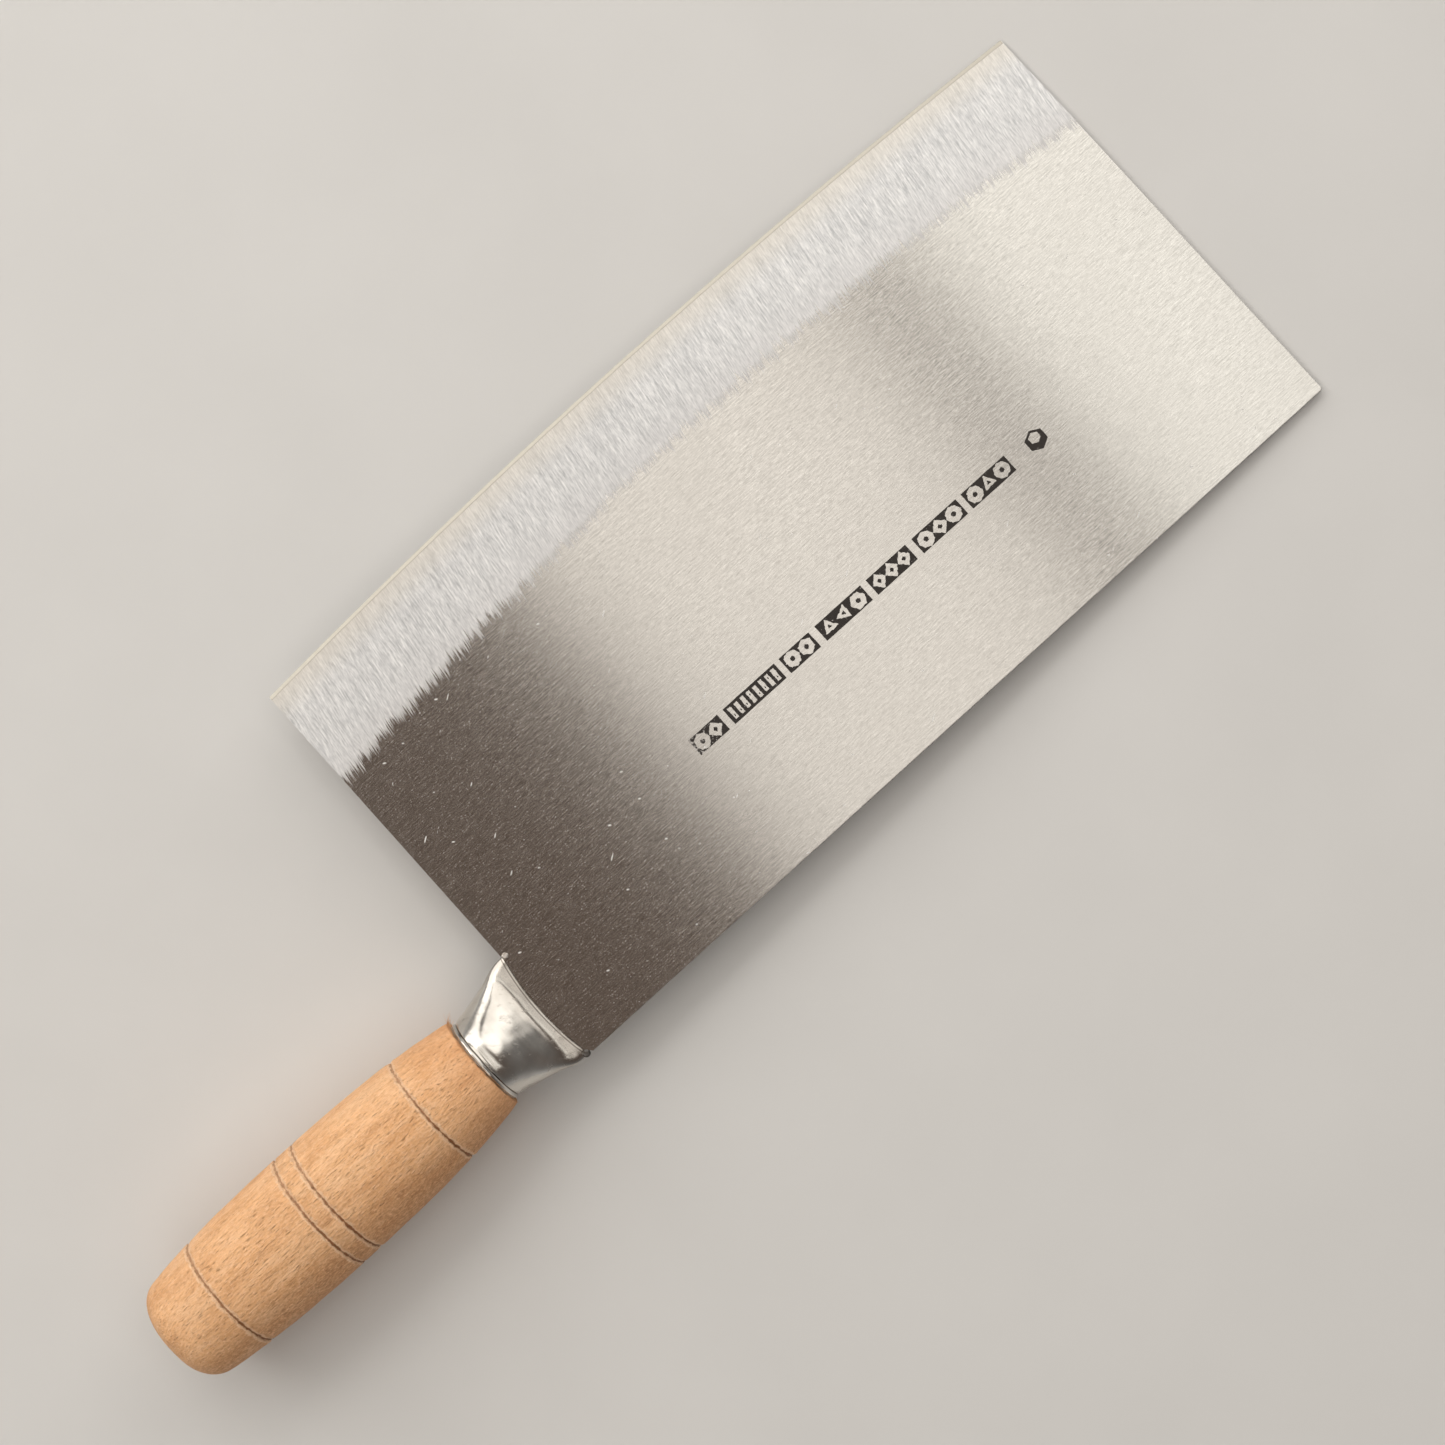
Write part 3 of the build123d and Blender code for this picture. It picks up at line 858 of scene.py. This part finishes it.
bpy.ops.object.select_all(action="DESELECT")
bpy.ops.mesh.primitive_circle_add(
    vertices=HANDLE_SEGMENTS, radius=side[0][1], location=(FRONT_X, 0, 0), rotation=(0, math.pi / 2, 0)
)
handle = start_piece("turned_handle")
bpy.ops.mesh.select_all(action="SELECT")
for before, after in zip(side, side[1:]):
    grow_ring(after[0], (before[1], before[1]), (after[1], after[1]), after[0] - before[0])
bpy.ops.mesh.edge_face_add()
pick(handle, "verts", lambda at: abs(at.x - FRONT_X) < 0.001)
bpy.ops.mesh.select_mode(type="EDGE")
last_x, last_r = FRONT_X, side[0][1]
for into_ferrule, r in TENON:
    x = FRONT_X + into_ferrule
    grow_ring(x, (last_r, last_r), (r, r), x - last_x)
    last_x, last_r = x, r
bpy.ops.mesh.edge_face_add()

# The grooves were cut by hand, so they are shallower in places
hand = random.Random(11)
for middle in groove_xs:
    for _ in range(SHALLOW_PLACES):
        around = hand.uniform(-math.pi, math.pi)
        facing = Vector((math.cos(around), math.sin(around)))
        nearness = math.cos(hand.uniform(0.1, 0.35))

        def in_place(at):
            at_bottom = abs(at.x - middle) < 0.1 and at.yz.length > 11
            return at_bottom and at.yz.normalized().dot(facing) > nearness

        pick(handle, "verts", in_place)
        bpy.ops.transform.resize(value=(1, SHALLOWER, SHALLOWER), center_override=(middle, 0, 0))

# The lathe tool tore the lips of the grooves and the front rim here and there
for number, middle in enumerate(groove_xs + [FRONT_X - 0.3]):
    pick(handle, "verts", lambda at: 0.2 < abs(at.x - middle) < 0.5 and at.yz.length > 11)
    bpy.ops.transform.vertex_random(offset=LIP_TEAR, seed=number)
    bpy.ops.transform.resize(value=(1, TORN_LIP_SHARE, TORN_LIP_SHARE), center_override=(middle, 0, 0))
close_piece(handle, 50)

# The room for the tang's end, which is hammered over into the butt
bpy.ops.object.select_all(action="DESELECT")
bpy.ops.mesh.primitive_cube_add(size=1, location=CLENCH_ROOM_MIDDLE, scale=CLENCH_ROOM_SIZE)
clench_room = start_piece("clench_room")
pick(clench_room, "faces", lambda at, way: way.x > 0.9)
bpy.ops.mesh.inset(thickness=0.3)
close_piece(clench_room, 30)
apply_modifier(handle, "BOOLEAN", object=clench_room, operation="DIFFERENCE", solver="EXACT")
bpy.data.objects.remove(clench_room)
uneven(handle, "turning_dents", 7.0, 0.22)

# Torn fibres at the grooves and round the front rim
FIBRES_PER_GROOVE = 22
FIBRES_AT_FRONT = 60
HAIRS_AT_FRONT = 16
FIBRE_FOOT_RADIUS = 0.07
FIBRE_TIP_RADIUS = 0.012
fuzz = random.Random(3)
bpy.ops.object.select_all(action="DESELECT")
bpy.ops.mesh.primitive_cone_add(
    vertices=4, radius1=FIBRE_FOOT_RADIUS, radius2=FIBRE_TIP_RADIUS, depth=1.0, location=(0, 0, 0.5)
)
fibre = start_piece("fibre")
bpy.ops.mesh.select_all(action="SELECT")
bpy.ops.mesh.subdivide(number_cuts=3)
pick(fibre, "verts", lambda at: abs(at.z - 0.5) < 0.1)
bpy.ops.transform.translate(value=(0.16, 0.04, 0))
pick(fibre, "verts", lambda at: abs(at.z - 0.25) < 0.1 or abs(at.z - 0.75) < 0.1)
bpy.ops.transform.translate(value=(0.11, 0.0, 0))
close_piece(fibre, 60)
fibres = []


def stand_fibre(foot, lean, length, girth):
    """Stands one torn fibre on the wood, leaning a given way."""
    strand = fibre.copy()
    strand.data = fibre.data.copy()
    turned = lean.to_track_quat("Z", "X").to_matrix().to_4x4()
    sized = Matrix.Diagonal((girth * (1 + length), girth, length, 1))
    strand.matrix_world = Matrix.Translation(foot) @ turned @ sized
    bpy.context.collection.objects.link(strand)
    fibres.append(strand)


for middle in groove_xs:
    for _ in range(FIBRES_PER_GROOVE):
        around = fuzz.uniform(-math.pi, math.pi)
        lip = middle + fuzz.choice([-0.3, 0.3])
        r = barrel_radius(middle) - 0.32
        outward = Vector((0, math.cos(around), math.sin(around)))
        sideways = Vector((0, -math.sin(around), math.cos(around)))
        inward = Vector((-0.4 if lip > middle else 0.4, 0, 0))
        lean = outward * 0.25 + inward + sideways * fuzz.uniform(-1, 1)
        stand_fibre(Vector((lip, 0, 0)) + outward * r, lean, fuzz.uniform(0.3, 0.7), 1.0)
for number in range(FIBRES_AT_FRONT + HAIRS_AT_FRONT):
    hair = number >= FIBRES_AT_FRONT
    around = fuzz.gauss(0.15, 0.25) if hair else fuzz.gauss(0.3, 1.1)
    outward = Vector((0, math.cos(around), math.sin(around)))
    sideways = Vector((0, -math.sin(around), math.cos(around)))
    rising = outward * fuzz.uniform(0.2, 0.9)
    forward = Vector((fuzz.uniform(0.1, 1.0), 0, 0))
    lean = rising + forward + sideways * fuzz.uniform(-1, 1)
    length = fuzz.uniform(1.4, 3.4) if hair else fuzz.uniform(0.4, 1.0)
    foot = Vector((FRONT_X - 0.2, 0, 0)) + outward * (FRONT_RADIUS - 0.25)
    stand_fibre(foot, lean, length, 0.4 if hair else 1.0)
bpy.data.objects.remove(fibre)
bpy.ops.object.select_all(action="DESELECT")
for strand in fibres:
    strand.select_set(True)
handle.select_set(True)
bpy.context.view_layer.objects.active = handle
bpy.ops.object.join()
bpy.ops.object.shade_smooth_by_angle(angle=math.radians(50))


def turned_wood():
    """Pale peach wood with fibres, rings and pores, pale torn lips with painted highlight, grooves dark with
    burning and painted shade, a warm front and a spine side darkened with speckle and painted shade.
    """
    finish = new_finish("turned_wood")
    place = drawn_place(finish)
    across = add_node(finish, "ShaderNodeSeparateXYZ", {"Vector": place})
    x = across.outputs["X"]
    fibres_seen = grain(finish, place, (0.07, 1.5, 1.5), 6.0, 0.62)
    fine_fibres = grain(finish, place, (0.5, 3.4, 3.4), 4.0, 0.65, shift=14.0)
    fuzz_seen = grain(finish, place, (1.2, 2.4, 2.4), 3.0, 0.7, shift=90.0)
    clouds = grain(finish, place, (0.05, 0.09, 0.09), 3.0, 0.5, shift=40.0)
    pores = grain(finish, place, (0.55, 5.0, 5.0), 2.0, 0.5, shift=77.0)
    specks = grain(finish, place, (2.0, 3.2, 3.2), 2.0, 0.5, shift=5.0)
    bent = add_node(
        finish, "ShaderNodeMapping", {"Vector": place, "Location": (0, 34, -22), "Scale": (0.02, 1.0, 1.0)}
    ).outputs[0]
    rings_seen = add_node(
        finish,
        "ShaderNodeTexWave",
        {"Vector": bent, "Scale": 0.075, "Distortion": 2.4, "Detail": 2.0, "Detail Scale": 0.5},
        wave_type="RINGS",
        rings_direction="X",
    ).outputs["Fac"]
    blotches = grain(finish, place, (0.06, 0.28, 0.28), 4.0, 0.6, shift=61.0)
    tone = tint(finish, spread(finish, fibres_seen, 0.3, 0.7), (0.76, 0.39, 0.17, 1), (0.92, 0.525, 0.26, 1))
    tone = tint(finish, spread(finish, rings_seen, 0.2, 0.9, 0.0, 0.25), tone, (0.62, 0.31, 0.135, 1))
    tone = tint(finish, spread(finish, clouds, 0.4, 0.62, 0.0, 0.5), tone, (0.94, 0.57, 0.31, 1))
    tone = tint(finish, spread(finish, blotches, 0.5, 0.64, 0.0, 0.5), tone, (0.98, 0.63, 0.37, 1))
    tone = tint(finish, spread(finish, blotches, 0.34, 0.48, 0.55, 0.0), tone, (0.6, 0.29, 0.125, 1))
    tone = tint(finish, spread(finish, fine_fibres, 0.44, 0.7, 0.0, 0.5), tone, (0.53, 0.245, 0.1, 1))
    tone = tint(finish, spread(finish, fuzz_seen, 0.48, 0.68, 0.0, 0.6), tone, (0.95, 0.62, 0.38, 1))
    warm = spread(finish, x, FRONT_X - 18, FRONT_X, 0.0, 0.35, soft=True)
    tone = tint(finish, warm, tone, (0.72, 0.35, 0.16, 1))
    tone = tint(finish, spread(finish, pores, 0.65, 0.74, 0.0, 0.45), tone, (0.36, 0.16, 0.06, 1))
    tone = tint(finish, spread(finish, specks, 0.66, 0.76, 0.0, 0.6), tone, (0.3, 0.13, 0.05, 1))
    # Speckle and painted shade: the spine side is darkened and browned in a speckled pattern
    spine_side_shade = spread(finish, across.outputs["Y"], -13.0, -4.0, 0.85, 0.0, soft=True)
    speckle_and_shade = reckon(finish, "MULTIPLY", spine_side_shade, spread(finish, fuzz_seen, 0.62, 0.4, 0.2, 0.9))
    tone = tint(finish, speckle_and_shade, tone, (0.42, 0.19, 0.075, 1))

    nearest = None
    for middle in groove_xs:
        away = reckon(finish, "ABSOLUTE", reckon(finish, "ADD", x, -middle))
        nearest = away if nearest is None else reckon(finish, "MINIMUM", nearest, away)
    lip_grain = grain(finish, place, (0.9, 0.7, 0.7), 4.0, 0.65, shift=3.0)
    uneven_lip = spread(finish, lip_grain, 0.3, 0.7, -0.4, 0.4)
    from_groove = reckon(finish, "ADD", nearest, uneven_lip)
    # Pale torn fibres and painted highlight: the lips beside each groove are coloured paler
    lip = spread(finish, from_groove, 0.55, 1.0, 0.65, 0.0, soft=True)
    tone = tint(finish, lip, tone, (0.92, 0.64, 0.42, 1))
    # Partly burnt lines, partly painted shade: the groove bottoms are coloured dark brown, darker still on
    # the spine side
    from_cut = reckon(finish, "MULTIPLY_ADD", uneven_lip, 0.6, nearest)
    groove_burn_and_shade = spread(finish, from_cut, 0.08, 0.42, 0.95, 0.0, soft=True)
    groove_burn_and_shade = reckon(finish, "MULTIPLY", groove_burn_and_shade, spread(finish, across.outputs["Y"], -6.0, 11.0, 1.0, 0.65))
    tone = tint(finish, groove_burn_and_shade, tone, (0.24, 0.085, 0.025, 1))
    coarse = reckon(finish, "ADD", fibres_seen, fuzz_seen)
    heights = reckon(finish, "MULTIPLY_ADD", fine_fibres, 0.6, coarse)
    pits = spread(finish, pores, 0.62, 0.74, 0.0, 1.0)
    shader = add_node(
        finish,
        "ShaderNodeBsdfPrincipled",
        {
            "Base Color": tone,
            "Metallic": 0.0,
            "Roughness": spread(finish, fibres_seen, 0.3, 0.7, 0.74, 0.58),
            "Specular IOR Level": 0.35,
            "Normal": relief(finish, reckon(finish, "SUBTRACT", heights, pits), 0.27, 1.0),
        },
    )
    set_surface(finish, shader.outputs[0])
    return finish


handle.data.materials.append(turned_wood())
lay_on_table(handle)
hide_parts("handle")
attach(handle, "root")

# ----------------------------------------------------------------------------------------------------
# Tang and its weld
# A tapered bar of mild steel, butt-welded to the blade's root inside the ferrule and driven through the wood.
# Its end is hammered over into the butt, dull and hammer-marked. Only that end shows.
# ----------------------------------------------------------------------------------------------------


def forged_steel():
    """Dull forged steel with hammer marks, scale and a little brown rust."""
    finish = new_finish("forged_steel")
    place = drawn_place(finish)
    blows = grain(finish, place, (0.5, 0.5, 0.5), 3.0, 0.5)
    scale_spots = grain(finish, place, (1.4, 1.4, 1.4), 4.0, 0.6, shift=8.0)
    tone = tint(finish, spread(finish, blows, 0.35, 0.65), (0.17, 0.155, 0.145, 1), (0.42, 0.405, 0.39, 1))
    tone = tint(finish, spread(finish, scale_spots, 0.55, 0.7, 0.0, 0.6), tone, (0.13, 0.07, 0.04, 1))
    shader = add_node(
        finish,
        "ShaderNodeBsdfPrincipled",
        {
            "Base Color": tone,
            "Metallic": 0.9,
            "Roughness": spread(finish, blows, 0.3, 0.7, 0.6, 0.38),
            "Normal": relief(finish, reckon(finish, "MULTIPLY_ADD", scale_spots, 0.3, blows), 0.15),
        },
    )
    set_surface(finish, shader.outputs[0])
    return finish


for node, finish in (("tang", forged_steel()), ("tang_weld", weld_steel("tang_weld_steel", 0.5))):
    bar = bpy.data.objects[node]
    bar.data.materials.clear()
    bar.data.materials.append(finish)

# ----------------------------------------------------------------------------------------------------
# Table, light and camera
# A pale matt table, with no wear of its own. Wide soft panels hang over it with a dark gap above the blade's
# heel, two windows stand at the edge side and past the toe, and the camera looks almost straight down.
# ----------------------------------------------------------------------------------------------------

bpy.ops.object.select_all(action="DESELECT")
bpy.ops.mesh.primitive_plane_add(size=4, location=(0, 0, cad_box[0][2]))
table = bpy.context.object
table.name = "table"
table_finish = new_finish("pale_table")
table_place = drawn_place(table_finish)
table_mottle = grain(table_finish, table_place, (0.02, 0.02, 0.02), 3.0, 0.5)
table_shader = add_node(
    table_finish,
    "ShaderNodeBsdfPrincipled",
    {
        "Base Color": tint(
            table_finish, table_mottle, (0.60, 0.595, 0.585, 1), (0.66, 0.655, 0.645, 1)
        ),
        "Roughness": 0.8,
        "Specular IOR Level": 0.2,
    },
)
set_surface(table_finish, table_shader.outputs[0])
table.data.materials.append(table_finish)


def soft_panel(name, middle, size, brightness, aim=None, colour=(1, 1, 1)):
    """A soft panel facing down or at a point, so many times as bright as a white sheet."""
    panel = bpy.data.lights.new(name, "AREA")
    panel.shape = "RECTANGLE"
    panel.size, panel.size_y = size
    panel.energy = brightness * math.pi * size[0] * size[1]
    panel.color = colour
    lamp = bpy.data.objects.new(name, panel)
    lamp.location = middle
    if aim is not None:
        lamp.rotation_euler = (Vector(middle) - Vector(aim)).to_track_quat("Z", "Y").to_euler()
    bpy.context.collection.objects.link(lamp)
    return lamp


PANEL_HEIGHT = 1.5
PANEL_MIDDLE_Y = 0.25
PANEL_LENGTH = 2.6


def panel_between(name, start, end, brightness, colour):
    """An overhead panel that reaches from one place to another along the blade."""
    middle = ((start + end) / 2, PANEL_MIDDLE_Y, PANEL_HEIGHT)
    soft_panel(name, middle, (end - start, PANEL_LENGTH), brightness, colour=colour)


panel_between("panel_over_middle", 0.087, 0.43, 1.13, (1, 0.98, 0.93))
panel_between("panel_past_toe", 0.485, 0.8, 1.36, (1, 1, 0.955))
panel_between("panel_over_handle", -1.15, -0.36, 1.8, (1, 0.97, 0.91))
soft_panel("window", (-0.1, 1.25, 0.95), (1.9, 1.25), 2.1, aim=(0, 0, 0), colour=(1, 0.97, 0.92))
soft_panel("window_past_toe", (1.2, 0.5, 0.8), (1.2, 1.2), 1.7, aim=(0, 0, 0), colour=(1, 0.97, 0.92))

world = bpy.data.worlds.new("studio")
bpy.context.scene.world = world
world.use_nodes = True
world_nodes = world.node_tree.nodes
sky_direction = world_nodes.new("ShaderNodeTexCoord")
sky_height = world_nodes.new("ShaderNodeSeparateXYZ")
room = world_nodes.new("ShaderNodeValToRGB")
room.color_ramp.elements[0].color = (0.5, 0.49, 0.48, 1)
room.color_ramp.elements[1].color = (0.105, 0.066, 0.046, 1)
room.color_ramp.elements[1].position = 0.9
room.color_ramp.elements.new(0.35).color = (0.19, 0.185, 0.18, 1)
world.node_tree.links.new(sky_direction.outputs["Generated"], sky_height.inputs[0])
world.node_tree.links.new(sky_height.outputs["Z"], room.inputs["Fac"])
world.node_tree.links.new(room.outputs["Color"], world_nodes["Background"].inputs["Color"])

camera_settings = bpy.data.cameras.new("camera")
camera_settings.sensor_width = 36.0
camera_settings.lens = 67.27
camera_settings.clip_start = 0.01
camera = bpy.data.objects.new("camera", camera_settings)
camera.location = (0.02993, -0.03916, 0.59408)
camera.rotation_euler = (math.radians(0.494), math.radians(2.321), math.radians(-42.195))
bpy.context.collection.objects.link(camera)
bpy.context.scene.camera = camera
bpy.context.scene.view_settings.view_transform = "Standard"
